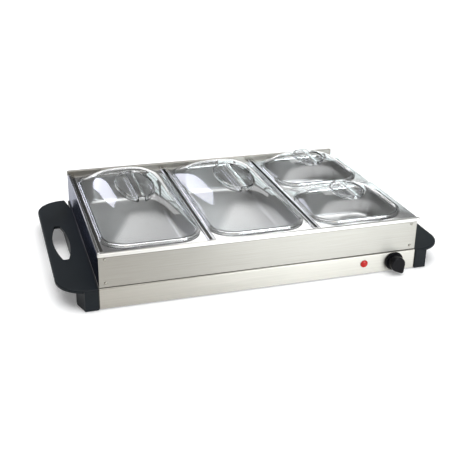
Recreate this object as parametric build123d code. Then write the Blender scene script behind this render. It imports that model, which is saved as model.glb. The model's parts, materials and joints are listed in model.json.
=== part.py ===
from build123d import *
import math
import os

# Electric buffet server: a heated base with two moulded end caps carries a lift-off tray frame
# with two full-depth and two half-depth pans, each under its own clear lid.
# Millimetres, +Z up, front at -Y.  Everything is drawn about the middle of the tray frame and
# moved at the end, so that the origin is the middle of the whole object's footprint.

# ---- driving dimensions ----
FRAME_LENGTH = 540.0
FRAME_DEPTH = 368.0
FRAME_HEIGHT = 58.2
SKIRT_HEIGHT = 34.2
SKIRT_GAP = 2.0            # the skirt stands this far above the table
BASE_LENGTH = 544.0
BASE_DEPTH = 371.0
SHEET = 0.8                # stainless sheet
CAP_REACH = 332.0          # outer edge of the handles
CAP_DEPTH = 378.0
FIT = 0.05                 # radial clearance of screws, shafts and bushes

# ---- heights ----
PLATE_TOP = SKIRT_GAP + SKIRT_HEIGHT
PLATE_UNDER = PLATE_TOP - SHEET
RAIL_TOP = PLATE_TOP + FRAME_HEIGHT
RAIL_UNDER = RAIL_TOP - 5.6
BACK_RAIL_TOP = RAIL_TOP + 3.2
LEDGE_TOP = RAIL_TOP - 4.1
FLANGE_TOP = LEDGE_TOP + SHEET
BEAD_HEIGHT = 2.5
BEAD_TOP = FLANGE_TOP + BEAD_HEIGHT

# ---- tray frame ----
RAIL_WIDTH = 6.5
RAIL_PROUD = 1.0           # the rail stands out from the panel
RAIL_OVERHANG = 5.0        # the front rail's right end passes the side panel
END_LEDGE = 10.5           # ledge along the front and back
SIDE_LEDGE = 7.4
HEM_WIDTH = 5.0
HEM_TOP = RAIL_TOP - 1.0
FOOT_FLANGE = 12.0
RIVET_INSET = 10.0
RIVET_HEIGHTS = (44.8, 84.6)
DIVIDER_HALF = 3.5
DIVIDER_WING = 10.5
DIVIDER_DEPTH = 14.4
RIB_TOP = LEDGE_TOP + 3.1

# ---- pans and lids ----
DIVIDER_X = 89.65
COLUMN_X = (-176.7, 1.5, 181.0)      # the pans lie loosely between the dividers
FLANGE_WIDTH = 165.0
FRONT_LAP, BACK_LAP = 94.0, 90.0    # the half pans' flanges lap over the right panel
FLANGE_LENGTH = 353.0
HALF_GAP = 2.0             # between the two half pans
OPENING_WIDTH = 150.0
OPENING_LENGTH = 312.0
HALF_OPENING_LENGTH = 134.0
OPENING_RADIUS = 34.0
BEAD_WIDTH = 4.6
PAN_DEPTH = 52.0
PAN_TAPER = 4.0
FLOOR_RADIUS = 8.0
FLANGE_CORNER = 3.0
BEAD_ROUND = 1.4
LID_WALL = 1.6
LID_SKIRT = 4.1
LID_CLEARANCE = 0.8        # round the bead
LID_TOP = 132.0
HALF_LID_TOP = 122.0
GRIP_RISE = 0.8            # the grip's rim stands above the crown
BAR_HALF = 6.5
GRIP_RIM = 2.4
FULL_GRIP = (60.0, 124.0, 11.0)      # width, length and depth of the two finger wells together
HALF_GRIP = (51.0, 75.0, 8.0)

# ---- control and lamp ----
KNOB_X, KNOB_Z = 231.0, 20.5
KNOB_RADIUS = 16.2
GRIP_RADIUS = 12.8
POINTER_REACH = 19.6
POINTER_ANGLE = -60.0      # at rest, from +X, seen from the front: turned fully up
SHAFT_RADIUS = 3.0
BUSH_RADIUS = 5.0
LAMP_X, LAMP_Z = 176.0, 21.0
GLAND_X, GLAND_Z = 232.0, 17.0

SKIRT_Y = BASE_DEPTH / 2
PANEL_Y = FRAME_DEPTH / 2
PANEL_X = FRAME_LENGTH / 2
BASE_X = BASE_LENGTH / 2
CAP_Y = CAP_DEPTH / 2
HALF_FLANGE_LENGTH = (FLANGE_LENGTH - HALF_GAP) / 2
HALF_PAN_Y = (HALF_FLANGE_LENGTH + HALF_GAP) / 2

KNOB_BACK = SKIRT_Y + 1.5
KNOB_DISC = 3.5
KNOB_FRONT = SKIRT_Y + 19.5
GLAND_REACH = 5.0
ORIGIN_SHIFT = (KNOB_FRONT - (SKIRT_Y + GLAND_REACH)) / 2


# ---- helpers ----
def block(x0, x1, y0, y1, z0, z1):
    """A box by its limits."""
    middle = Pos((x0 + x1) / 2, (y0 + y1) / 2, (z0 + z1) / 2)
    return middle * Box(abs(x1 - x0), abs(y1 - y0), abs(z1 - z0))


def slab(sketch, z0, z1):
    """A flat sketch stood between two heights."""
    return extrude(Pos(0, 0, z0) * sketch, amount=z1 - z0)


def upright(x, y, z0, z1, radius):
    """A round post along Z."""
    return Pos(x, y, (z0 + z1) / 2) * Cylinder(radius, z1 - z0)


def along_x(x0, x1, y, z, radius):
    """A round bar along X."""
    return Pos((x0 + x1) / 2, y, z) * Rot(0, 90, 0) * Cylinder(radius, abs(x1 - x0))


def along_y(x, y0, y1, z, radius):
    """A round bar along Y."""
    return Pos(x, (y0 + y1) / 2, z) * Rot(90, 0, 0) * Cylinder(radius, abs(y1 - y0))


def tube(points, radii, radius):
    """A round bar along straight runs joined by tangent arcs."""
    path = FilletPolyline(*points, radius=radii)
    start = Plane(origin=path @ 0, z_dir=path % 0)
    return sweep(start * Circle(radius), path)


def top_edges(solid, axis):
    """The highest edges that run along an axis."""
    return solid.edges().filter_by(axis).group_by(Axis.Z)[-1]


def pair(solid, plane):
    """A solid and its mirror image, as two separate pieces."""
    return [solid, mirror(solid, about=plane)]


def save(name, *solids):
    """Moves one node's pieces to the final origin and writes them."""
    moved = [Pos(0, ORIGIN_SHIFT, 0) * solid for solid in solids]
    shape = moved[0] if len(moved) == 1 else Compound(children=moved)
    shape.label = name
    export_step(shape, f"parts/{name}.step")


# ---- heated base ----
PLATE_ROUND = 2.4
END_FOLD = 12.0            # the plate's short fold at each end, behind the end caps


def warming_plate():
    shell = block(-BASE_X, BASE_X, -SKIRT_Y, SKIRT_Y, SKIRT_GAP, PLATE_TOP)
    shell = fillet(top_edges(shell, Axis.X), PLATE_ROUND)
    inside_x, inside_y = BASE_X - SHEET, SKIRT_Y - SHEET
    inside = block(-inside_x, inside_x, -inside_y, inside_y, SKIRT_GAP, PLATE_UNDER)
    shell -= fillet(top_edges(inside, Axis.X), PLATE_ROUND - SHEET)
    for side in (-1, 1):
        outside, within = side * (BASE_X + 1), side * (inside_x - 1)
        shell -= block(outside, within, -inside_y, inside_y, 0, PLATE_TOP - END_FOLD)
        for y in CAP_SCREW_Y:
            shell -= along_x(outside, within, y, CAP_SCREW_Z, CAP_SCREW_SHANK + FIT)
    shell -= along_y(KNOB_X, -SKIRT_Y - 1, -inside_y + 1, KNOB_Z, BUSH_RADIUS + FIT)
    shell -= along_y(LAMP_X, -SKIRT_Y - 1, -inside_y + 1, LAMP_Z, LAMP_BARREL + FIT)
    shell -= along_y(GLAND_X, inside_y - 1, SKIRT_Y + 1, GLAND_Z, GLAND_BARREL + FIT)
    return shell


COVER_UNDER = 3.0
COVER_TOP = COVER_UNDER + SHEET
COVER_LIP = 8.5
POST_PLACES = [(x, y) for x in (-150.0, 150.0) for y in (-155.0, 155.0)]
POST_RADIUS = 4.0
SCREW_RADIUS = 2.0
SCREW_HEAD = 3.6
SCREW_HEAD_HEIGHT = 1.0
SCREW_LENGTH = 8.0
SLOT_DEPTH = 0.4
VENT_ROWS = (-70.0, 70.0)
VENT_PITCH, VENT_LENGTH, VENT_WIDTH = 40.0, 36.0, 3.2
VENTS_EACH_SIDE = 4


def bottom_cover():
    edge = SKIRT_Y - SHEET
    cover = block(-BASE_X, BASE_X, -edge, edge, COVER_UNDER, COVER_LIP)
    cover -= block(-BASE_X - 1, BASE_X + 1, -edge + SHEET, edge - SHEET, COVER_TOP, COVER_LIP + 1)
    for x, y in POST_PLACES:
        cover -= upright(x, y, 0, COVER_LIP, SCREW_RADIUS + FIT)
    vent = SlotOverall(VENT_LENGTH, VENT_WIDTH, rotation=90)
    for row_y in VENT_ROWS:
        for step in range(-VENTS_EACH_SIDE, VENTS_EACH_SIDE + 1):
            cover -= slab(Pos(step * VENT_PITCH, row_y) * vent, 0, COVER_LIP)
    return cover


def cover_posts():
    posts = []
    for x, y in POST_PLACES:
        post = upright(x, y, COVER_TOP, PLATE_UNDER, POST_RADIUS)
        posts.append(post - upright(x, y, COVER_TOP, COVER_TOP + SCREW_LENGTH + 1, SCREW_RADIUS + FIT))
    return posts


def cover_screws():
    screws = []
    for x, y in POST_PLACES:
        head_under = COVER_UNDER - SCREW_HEAD_HEIGHT
        head = upright(x, y, head_under, COVER_UNDER, SCREW_HEAD)
        head -= block(x - SCREW_HEAD + 0.6, x + SCREW_HEAD - 0.6, y - SCREW_SLOT, y + SCREW_SLOT,
                      0, head_under + SLOT_DEPTH)
        screws.append(head + upright(x, y, COVER_UNDER, COVER_TOP + SCREW_LENGTH, SCREW_RADIUS))
    return screws


# ---- end caps: handle wing, box along the base, two feet ----
WING_TOP = PLATE_TOP - 0.2
WING_LIP = 4.8
WING_FRONT, WING_BACK = 185.5, 190.0
WING_CORNER = 50.0
WING_ROUND = 2.2
BACK_GAP = 7.0             # at the back the cap leans away from the base by this much
BACK_GAP_LENGTH = 45.0
CAP_WALL = 2.5
CAP_ROOF = 3.0
JOIN_TOP = WING_TOP - 1.0   # the box and the feet run up into the wing
BODY_WIDTH = 21.0
BODY_UNDER = 11.0
BODY_INSET = 2.0           # from the cap's ends
FOOT_WIDTH = 36.0
FOOT_SPLAY = 9.0
FOOT_SLOPE = 26.0
FOOT_UNDER = 1.2
FOOT_FLOOR = 3.3
PAD_PLACES = [(x, y) for x in (-283.0, 283.0) for y in (-171.0, 171.0)]
PAD_RADIUS = 7.0
PAD_TOP = 3.0
PAD_ROUND = 0.6
CAP_SCREW_Y = (-130.0, 0.0, 130.0)
CAP_SCREW_Z = 30.0
CAP_SCREW_SHANK, CAP_SCREW_HEAD = 1.75, 3.4
CAP_SCREW_HEAD_HEIGHT = 2.0
CAP_SLOT_DEPTH = 0.8
CAP_BOSS_RADIUS, CAP_BOSS_LENGTH = 4.0, 12.0
SCREW_SLOT = 0.4           # half the width of a driver slot
HOLE_MIDDLE = 306.0
HOLE_HALF_LENGTH = 69.0
HOLE_HALF_WIDTH = 13.6
HOLE_END_HALF = 4.5
HOLE_END_ROUND = 3.0


def finger_hole(grow=0.0):
    """Two shallow arcs that meet blunt ends."""
    end = HOLE_END_HALF
    inner = ThreePointArc((-end, -HOLE_HALF_LENGTH), (-HOLE_HALF_WIDTH, 0), (-end, HOLE_HALF_LENGTH))
    outer = ThreePointArc((end, HOLE_HALF_LENGTH), (HOLE_HALF_WIDTH, 0), (end, -HOLE_HALF_LENGTH))
    ends = [Line(inner @ 1, outer @ 0), Line(outer @ 1, inner @ 0)]
    outline = make_face(Curve() + [inner, ends[0], outer, ends[1]])
    outline = fillet(outline.vertices(), HOLE_END_ROUND)
    if grow:
        outline = offset(outline, amount=grow)
    return Pos(HOLE_MIDDLE, 0) * outline


def back_gap(grow=0.0):
    """The wedge of air between the cap and the back end of the base."""
    near, far = WING_BACK - BACK_GAP_LENGTH, WING_BACK + 1
    return make_face(Polyline((BASE_X - 1, near), (BASE_X + grow, near), (BASE_X + BACK_GAP + grow, far),
                              (BASE_X - 1, far), close=True))


def end_cap():
    """The right end cap."""
    width = CAP_REACH - BASE_X
    plan = Pos(BASE_X + width / 2, (WING_BACK - WING_FRONT) / 2) * Rectangle(width, WING_BACK + WING_FRONT)
    outer_corners = plan.vertices().group_by(Axis.X)[-1]
    plan = fillet(outer_corners, WING_CORNER)
    wing_under = WING_TOP - WING_LIP
    wing = slab(plan, wing_under, WING_TOP)
    rim = [e for e in wing.faces().sort_by(Axis.Z)[-1].edges() if e.center().X > BASE_X + 1]
    wing = fillet(rim, WING_ROUND)
    hollow = slab(offset(plan, amount=-CAP_WALL), wing_under, WING_TOP - CAP_WALL)
    collar = slab(finger_hole(CAP_WALL), wing_under, JOIN_TOP)
    cap = wing - (hollow - collar)

    body_end = BASE_X + BODY_WIDTH
    end_y = CAP_Y - BODY_INSET
    cap += block(BASE_X, body_end, -end_y, end_y, BODY_UNDER, JOIN_TOP)
    foot_plan = make_face(Polyline(
        (BASE_X, -end_y), (body_end, -end_y), (body_end + FOOT_SPLAY, -end_y + FOOT_SLOPE),
        (body_end + FOOT_SPLAY, -end_y + FOOT_WIDTH), (BASE_X, -end_y + FOOT_WIDTH), close=True))
    for foot in pair(slab(foot_plan, FOOT_UNDER, JOIN_TOP), Plane.XZ):
        cap += foot

    inner_x, outer_x = BASE_X + CAP_WALL, body_end - CAP_WALL
    inner_y = end_y - CAP_WALL
    foot_room = block(inner_x, outer_x, -inner_y, -end_y + FOOT_WIDTH - CAP_WALL,
                      FOOT_UNDER + FOOT_FLOOR, BODY_UNDER)
    cap -= block(inner_x, outer_x, -inner_y, inner_y, BODY_UNDER - 1, WING_TOP - CAP_ROOF)
    for room in pair(foot_room, Plane.XZ):
        cap -= room
    slanted_wall = slab(back_gap(CAP_WALL), BODY_UNDER, JOIN_TOP)
    cap += slanted_wall & block(BASE_X, body_end, 0, end_y, FOOT_UNDER, WING_TOP)
    cap -= slab(back_gap(), 0, WING_TOP + 1)
    for y in CAP_SCREW_Y:
        cap += along_x(BASE_X, BASE_X + CAP_BOSS_LENGTH, y, CAP_SCREW_Z, CAP_BOSS_RADIUS)
        cap -= along_x(BASE_X - 1, BASE_X + CAP_BOSS_LENGTH - 1, y, CAP_SCREW_Z, CAP_SCREW_SHANK + FIT)
    for x, y in PAD_PLACES:
        cap -= upright(x, y, 0, PAD_TOP, PAD_RADIUS + FIT)
    cap -= slab(finger_hole(), 0, WING_TOP + 1)
    return cap


def end_cap_screws():
    head_back = BASE_X - SHEET
    head_face = head_back - CAP_SCREW_HEAD_HEIGHT
    screws = []
    for y in CAP_SCREW_Y:
        shank = along_x(head_back, BASE_X + CAP_BOSS_LENGTH - 2, y, CAP_SCREW_Z, CAP_SCREW_SHANK)
        head = along_x(head_face, head_back, y, CAP_SCREW_Z, CAP_SCREW_HEAD)
        slot = block(head_face - 1, head_face + CAP_SLOT_DEPTH, y - CAP_SCREW_HEAD, y + CAP_SCREW_HEAD,
                     CAP_SCREW_Z - SCREW_SLOT, CAP_SCREW_Z + SCREW_SLOT)
        screws += pair(shank + head - slot, Plane.YZ)
    return screws


def foot_pads():
    return [fillet(upright(x, y, 0, PAD_TOP, PAD_RADIUS).edges().group_by(Axis.Z)[0], PAD_ROUND)
            for x, y in PAD_PLACES]


# ---- heater ----
ELEMENT_RADIUS = 3.3
ELEMENT_Z = PLATE_UNDER - ELEMENT_RADIUS - 0.1
RUN_Y = 40.0
RUN_LEFT, RUN_RIGHT = -180.0, 160.0
ELEMENT_END = 196.0
PIN_END = 208.0
PIN_RADIUS = 1.5
CLIP_X = (-90.0, 30.0, 130.0)
CLIP_HALF_WIDTH = 6.0
CLIP_EAR = 8.0
SHIELD_Z = 18.0
SHIELD_LEFT, SHIELD_RIGHT = -250.0, 155.0
SHIELD_Y = 165.0


def heating_element():
    """Four runs of sheathed tube joined by half turns, with a cold pin at each end."""
    height = ELEMENT_Z
    path = Curve() + [
        Line((ELEMENT_END, -3 * RUN_Y, height), (RUN_LEFT, -3 * RUN_Y, height)),
        ThreePointArc((RUN_LEFT, -3 * RUN_Y, height), (RUN_LEFT - RUN_Y, -2 * RUN_Y, height),
                      (RUN_LEFT, -RUN_Y, height)),
        Line((RUN_LEFT, -RUN_Y, height), (RUN_RIGHT, -RUN_Y, height)),
        ThreePointArc((RUN_RIGHT, -RUN_Y, height), (RUN_RIGHT + RUN_Y, 0, height),
                      (RUN_RIGHT, RUN_Y, height)),
        Line((RUN_RIGHT, RUN_Y, height), (RUN_LEFT, RUN_Y, height)),
        ThreePointArc((RUN_LEFT, RUN_Y, height), (RUN_LEFT - RUN_Y, 2 * RUN_Y, height),
                      (RUN_LEFT, 3 * RUN_Y, height)),
        Line((RUN_LEFT, 3 * RUN_Y, height), (ELEMENT_END, 3 * RUN_Y, height))]
    section = Plane(origin=(ELEMENT_END, -3 * RUN_Y, height), z_dir=(-1, 0, 0)) * Circle(ELEMENT_RADIUS)
    sheath = sweep(section, path)
    for y in (-3 * RUN_Y, 3 * RUN_Y):
        sheath += along_x(ELEMENT_END, PIN_END, y, height, PIN_RADIUS)
    return sheath


def element_clip(x, y):
    """A saddle that hugs the tube and is welded to the plate by two ears."""
    outside = ELEMENT_RADIUS + FIT + SHEET
    inside = ELEMENT_RADIUS + FIT
    left, right = x - CLIP_HALF_WIDTH, x + CLIP_HALF_WIDTH
    ear_end = outside + CLIP_EAR
    saddle = along_x(left, right, y, ELEMENT_Z, outside)
    saddle += block(left, right, y - outside, y + outside, ELEMENT_Z, PLATE_UNDER)
    saddle += block(left, right, y - ear_end, y + ear_end, PLATE_UNDER - SHEET, PLATE_UNDER)
    saddle -= along_x(left - 1, right + 1, y, ELEMENT_Z, inside)
    return saddle - block(left - 1, right + 1, y - inside, y + inside, ELEMENT_Z, PLATE_TOP)


def element_clips():
    return [element_clip(x, y) for x in CLIP_X for y in (-3 * RUN_Y, -RUN_Y, RUN_Y, 3 * RUN_Y)]


def heat_shield():
    """A bright sheet under the element, standing on two folded legs."""
    shield = block(SHIELD_LEFT, SHIELD_RIGHT, -SHIELD_Y, SHIELD_Y, COVER_TOP, SHIELD_Z + SHEET)
    shield -= block(SHIELD_LEFT + SHEET, SHIELD_RIGHT - SHEET, -SHIELD_Y - 1, SHIELD_Y + 1, 0, SHIELD_Z)
    for x, y in POST_PLACES:
        shield -= upright(x, y, SHIELD_Z - 1, SHIELD_Z + 2, POST_RADIUS + 1)
    return shield


FUSE_RADIUS = 2.0
FUSE_HALF_LENGTH = 6.0
FUSE_LEAD, FUSE_LEAD_RADIUS = 10.0, 0.6
FUSE_CLIP_SHEET = 0.6
FUSE_CLIP_HALF_WIDTH = 4.0
FUSE_CLIP_EAR = 8.0
FUSE_X, FUSE_Z = 110.0, PLATE_UNDER - FUSE_RADIUS - FUSE_CLIP_SHEET


def thermal_fuse():
    lead_end = FUSE_HALF_LENGTH + FUSE_LEAD
    body = along_y(FUSE_X, -FUSE_HALF_LENGTH, FUSE_HALF_LENGTH, FUSE_Z, FUSE_RADIUS)
    return body + along_y(FUSE_X, -lead_end, lead_end, FUSE_Z, FUSE_LEAD_RADIUS)


def fuse_clip():
    half = FUSE_CLIP_HALF_WIDTH
    clip = along_y(FUSE_X, -half, half, FUSE_Z, FUSE_RADIUS + FUSE_CLIP_SHEET)
    clip += block(FUSE_X - FUSE_CLIP_EAR, FUSE_X + FUSE_CLIP_EAR, -half, half,
                  PLATE_UNDER - FUSE_CLIP_SHEET, PLATE_UNDER)
    return clip - along_y(FUSE_X, -half - 1, half + 1, FUSE_Z, FUSE_RADIUS + FIT)


# ---- thermostat and knob ----
BODY_FRONT = SKIRT_Y - SHEET
BODY_BACK = 158.0
BODY_HALF_WIDTH = 15.0
BODY_BOTTOM, BODY_TOP = 9.0, 31.5
BODY_ROUND = 1.5
BORE_DEPTH = 14.0
TAG_SPREAD, TAG_LENGTH, TAG_Z = 8.0, 6.0, 14.0
TAG_HALF = 3.1
NUT_RADIUS, NUT_HEIGHT = 7.0, 1.4
BUSH_FRONT = SKIRT_Y + 1.5
SHAFT_FRONT = SKIRT_Y + 14.0
FLAT_HEIGHT = 1.5          # of the shaft's flat above its axis
SPRING_THICKNESS, SPRING_HALF = 0.4, 2.0
BORE_FIT = 0.02
NUT_ROOM = 8.6
NUT_ROOM_DEPTH, BUSH_ROOM_DEPTH = 2.6, 3.1
FLAT_START = 3.0           # the shaft is round for this far in front of the bush
KNOB_RIBS = 36
RIB_GROOVE = 0.6
DISC_CHAMFER = 0.8
GRIP_ROUND = 1.6
POINTER_TIP = 3.0
MARK_LENGTH, MARK_WIDTH, MARK_DEPTH, MARK_INSET = 9.0, 1.2, 0.5, 8.0


def thermostat():
    case = block(KNOB_X - BODY_HALF_WIDTH, KNOB_X + BODY_HALF_WIDTH, -BODY_FRONT, -BODY_BACK,
                 BODY_BOTTOM, BODY_TOP)
    case = fillet(case.edges().filter_by(Axis.Y), BODY_ROUND)
    case += along_y(KNOB_X, -BUSH_FRONT, -BODY_FRONT, KNOB_Z, BUSH_RADIUS)
    for x in (KNOB_X - TAG_SPREAD, KNOB_X + TAG_SPREAD):
        case += block(x - TAG_HALF, x + TAG_HALF, -BODY_BACK, -BODY_BACK + TAG_LENGTH,
                      TAG_Z - SHEET / 2, TAG_Z + SHEET / 2)
    return case - along_y(KNOB_X, -BUSH_FRONT - 1, -BODY_FRONT + BORE_DEPTH, KNOB_Z, SHAFT_RADIUS + FIT)


def thermostat_nut():
    nut = extrude(RegularPolygon(NUT_RADIUS, 6), amount=NUT_HEIGHT)
    nut = Pos(KNOB_X, -SKIRT_Y, KNOB_Z) * Rot(90, 0, 0) * nut
    return nut - along_y(KNOB_X, -SKIRT_Y - NUT_HEIGHT - 1, -SKIRT_Y + 1, KNOB_Z, BUSH_RADIUS + FIT)


def thermostat_shaft():
    """A round shaft with a flat on its free end."""
    shaft = along_y(KNOB_X, -SHAFT_FRONT, -BODY_FRONT + BORE_DEPTH - 1, KNOB_Z, SHAFT_RADIUS)
    reach = SHAFT_RADIUS + 1
    return shaft - block(KNOB_X - reach, KNOB_X + reach, -SHAFT_FRONT - 1, -BUSH_FRONT - FLAT_START,
                         KNOB_Z + FLAT_HEIGHT, KNOB_Z + reach)


def knob_spring():
    """A bent leaf between the shaft's flat and the knob's bore."""
    low = KNOB_Z + FLAT_HEIGHT
    return block(KNOB_X - SPRING_HALF, KNOB_X + SPRING_HALF, -SHAFT_FRONT + 1,
                 -BUSH_FRONT - FLAT_START - 0.5, low, low + SPRING_THICKNESS)


def control_knob():
    """A ribbed disc with a drop-shaped grip that ends in the pointer."""
    turned = Pos(KNOB_X, -KNOB_BACK, KNOB_Z) * Rot(90, 0, 0) * Rot(0, 0, POINTER_ANGLE)
    disc = extrude(Circle(KNOB_RADIUS), amount=KNOB_DISC)
    disc = chamfer(disc.edges().group_by(Axis.Z)[-1], DISC_CHAMFER)
    for step in range(KNOB_RIBS):
        angle = 360.0 * step / KNOB_RIBS
        disc -= Rot(0, 0, angle) * Pos(KNOB_RADIUS, 0) * Cylinder(RIB_GROOVE, 3 * KNOB_DISC)
    tip = POINTER_TIP
    lean = math.acos((GRIP_RADIUS - tip) / (POINTER_REACH - tip))
    corners = []
    for side in (1, -1):
        lift = (math.cos(lean), side * math.sin(lean))
        corners.append((GRIP_RADIUS * lift[0], GRIP_RADIUS * lift[1]))
        corners.append((POINTER_REACH - tip + tip * lift[0], tip * lift[1]))
    outline = make_face(Curve() + [
        Line(corners[0], corners[1]),
        ThreePointArc(corners[1], (POINTER_REACH, 0), corners[3]),
        Line(corners[3], corners[2]),
        ThreePointArc(corners[2], (-GRIP_RADIUS, 0), corners[0])])
    grip_height = KNOB_FRONT - KNOB_BACK
    grip = extrude(outline, amount=grip_height)
    grip = fillet(grip.faces().sort_by(Axis.Z)[-1].edges(), GRIP_ROUND)
    knob = disc + grip
    knob -= extrude(Circle(NUT_ROOM), amount=NUT_ROOM_DEPTH)
    knob -= extrude(Circle(BUSH_RADIUS + 1), amount=BUSH_ROOM_DEPTH)
    above_spring = Pos(0, FLAT_HEIGHT + SPRING_THICKNESS + KNOB_DISC) * Rectangle(10, 2 * KNOB_DISC)
    bore = Circle(SHAFT_RADIUS + BORE_FIT) - above_spring
    knob -= extrude(Rot(0, 0, -POINTER_ANGLE) * bore, amount=SHAFT_FRONT - KNOB_BACK + 0.2)
    knob -= Pos(POINTER_REACH - MARK_INSET, 0, grip_height) * Box(MARK_LENGTH, MARK_WIDTH, 2 * MARK_DEPTH)
    return turned * knob


# ---- pilot lamp ----
LAMP_BARREL = 4.8
LAMP_FLANGE = 6.6
LENS_FLANGE = 1.4
LENS_ROUND = 0.9
DOME_RADIUS, DOME_RISE = 9.6, 1.4
BARREL_LENGTH = 16.0
LAMP_BORE = 3.6
BULB_RADIUS, BULB_ROUND = 2.6, 2.0
BULB_FRONT = 3.5           # behind the skirt's face
BULB_BACK = -SKIRT_Y + BARREL_LENGTH + 2.0
RETAINER_RADIUS, RETAINER_SHEET = 8.0, 0.6


def lamp_lens():
    """A domed jewel with a barrel that passes through the skirt."""
    face = -SKIRT_Y - LENS_FLANGE
    flange = along_y(LAMP_X, face, -SKIRT_Y, LAMP_Z, LAMP_FLANGE)
    flange = fillet(flange.edges().group_by(Axis.Y)[0], LENS_ROUND)
    dome = Pos(LAMP_X, face + DOME_RADIUS - DOME_RISE, LAMP_Z) * Sphere(DOME_RADIUS)
    dome &= along_y(LAMP_X, face - 2 * DOME_RISE, -SKIRT_Y, LAMP_Z, LAMP_BARREL)
    barrel_end = -SKIRT_Y + BARREL_LENGTH
    barrel = along_y(LAMP_X, -SKIRT_Y, barrel_end, LAMP_Z, LAMP_BARREL)
    return flange + dome + barrel - along_y(LAMP_X, -SKIRT_Y, barrel_end + 1, LAMP_Z, LAMP_BORE)


def lamp_bulb():
    glass = along_y(LAMP_X, -SKIRT_Y + BULB_FRONT, BULB_BACK, LAMP_Z, BULB_RADIUS)
    return fillet(glass.edges().group_by(Axis.Y)[0], BULB_ROUND)


def lamp_retainer():
    """A push-on ring that bites the barrel behind the skirt."""
    back = -SKIRT_Y + SHEET
    ring = along_y(LAMP_X, back, back + RETAINER_SHEET, LAMP_Z, RETAINER_RADIUS)
    return ring - along_y(LAMP_X, back - 1, back + 2, LAMP_Z, LAMP_BARREL)


# ---- supply side ----
GLAND_BARREL = 6.5
GLAND_FLANGE = 9.0
GLAND_ROUND, GLAND_LENGTH = 1.5, 12.0
CORD_BORE = 3.6
BLOCK_X, BLOCK_Y, BLOCK_TOP = 230.0, 60.0, 18.0
BLOCK_HALF_X, BLOCK_HALF_Y = 14.0, 15.0
TERMINAL_PITCH, TERMINAL_RADIUS, TERMINAL_DEPTH = 8.0, 2.4, 5.0
EARTH_X, EARTH_Y = 250.0, 110.0
EARTH_RADIUS, EARTH_LENGTH = 2.0, 9.0
EARTH_NUT_RADIUS, EARTH_NUT_UNDER, EARTH_NUT_TOP = 4.0, 7.0, 4.0    # below the plate


def cord_gland():
    """A moulded bush in the back skirt; the cord's inlet."""
    gland = along_y(GLAND_X, SKIRT_Y, SKIRT_Y + GLAND_REACH, GLAND_Z, GLAND_FLANGE)
    gland = fillet(gland.edges().group_by(Axis.Y)[-1], GLAND_ROUND)
    gland_in = SKIRT_Y - GLAND_LENGTH
    gland += along_y(GLAND_X, gland_in, SKIRT_Y, GLAND_Z, GLAND_BARREL)
    return gland - along_y(GLAND_X, gland_in - 1, SKIRT_Y + GLAND_REACH + 1, GLAND_Z, CORD_BORE)


def terminal_block():
    body = block(BLOCK_X - BLOCK_HALF_X, BLOCK_X + BLOCK_HALF_X,
                 BLOCK_Y - BLOCK_HALF_Y, BLOCK_Y + BLOCK_HALF_Y, COVER_TOP, BLOCK_TOP)
    body = fillet(body.edges().filter_by(Axis.Z), BODY_ROUND)
    for step in (-1, 0, 1):
        for y in (BLOCK_Y - TERMINAL_PITCH, BLOCK_Y + TERMINAL_PITCH):
            body -= upright(BLOCK_X + TERMINAL_PITCH * step, y, BLOCK_TOP - TERMINAL_DEPTH, BLOCK_TOP + 1,
                            TERMINAL_RADIUS)
    return body


def earth_screw():
    """A stud on the plate's underside, with its nut."""
    stud = upright(EARTH_X, EARTH_Y, PLATE_UNDER - EARTH_LENGTH, PLATE_UNDER, EARTH_RADIUS)
    return stud + upright(EARTH_X, EARTH_Y, PLATE_UNDER - EARTH_NUT_UNDER, PLATE_UNDER - EARTH_NUT_TOP,
                          EARTH_NUT_RADIUS)


WIRE_RADIUS = 1.2
WIRE_Z = 11.0              # where the leads enter the terminal block
LEAD_SPREAD = 1.3          # of the lamp's two leads


def wiring_harness():
    """Heat-proof leads from the terminal block to the thermostat, the element and the lamp.

    Each route is listed corner by corner, from one terminal to the other.
    """
    front, back = BLOCK_Y - BLOCK_HALF_Y, BLOCK_Y + BLOCK_HALF_Y
    left, right = BLOCK_X - TERMINAL_PITCH, BLOCK_X + TERMINAL_PITCH
    tag_y, pin_y = -BODY_BACK + TAG_LENGTH, 3 * RUN_Y
    left_tag, right_tag = KNOB_X - TAG_SPREAD, KNOB_X + TAG_SPREAD
    left_lead, right_lead = LAMP_X - LEAD_SPREAD, LAMP_X + LEAD_SPREAD
    routes = [
        [(left, front, WIRE_Z), (222, 0, 9), (222, -60, 8), (222, -110, 9), (left_tag, tag_y, TAG_Z)],
        [(right_tag, tag_y, TAG_Z), (240, -138, 17), (230, -pin_y, ELEMENT_Z),
         (PIN_END, -pin_y, ELEMENT_Z)],
        [(PIN_END, pin_y, ELEMENT_Z), (224, pin_y, ELEMENT_Z), (230, 100, 20), (BLOCK_X, back, WIRE_Z)],
        [(BLOCK_X, front, WIRE_Z), (233, 0, 7), (214, -60, 6), (186, -110, 8),
         (right_lead, -140, 18), (right_lead, BULB_BACK, LAMP_Z)],
        [(right, front, WIRE_Z), (240, 10, 14), (215, -50, 14), (180, -100, 15),
         (left_lead, -135, 22), (left_lead, BULB_BACK, LAMP_Z)]]
    wires = []
    for points in routes:
        corners = []
        for before, at, after in zip(points, points[1:], points[2:]):
            run_in, run_out = Vector(at) - Vector(before), Vector(after) - Vector(at)
            turn = math.radians(run_in.get_angle(run_out))
            corners.append(0.45 * min(run_in.length, run_out.length) / math.tan(turn / 2))
        wires.append(tube(points, corners, WIRE_RADIUS))
    return wires


# ---- tray frame ----
RAIL_ROUND, RAIL_END_ROUND = 1.6, 2.2
FOOT_BEND = 1.2            # outside radius where the panel folds into its foot flange
HEM_ROUND, HEM_END_ROUND = 1.4, 1.5


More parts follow.
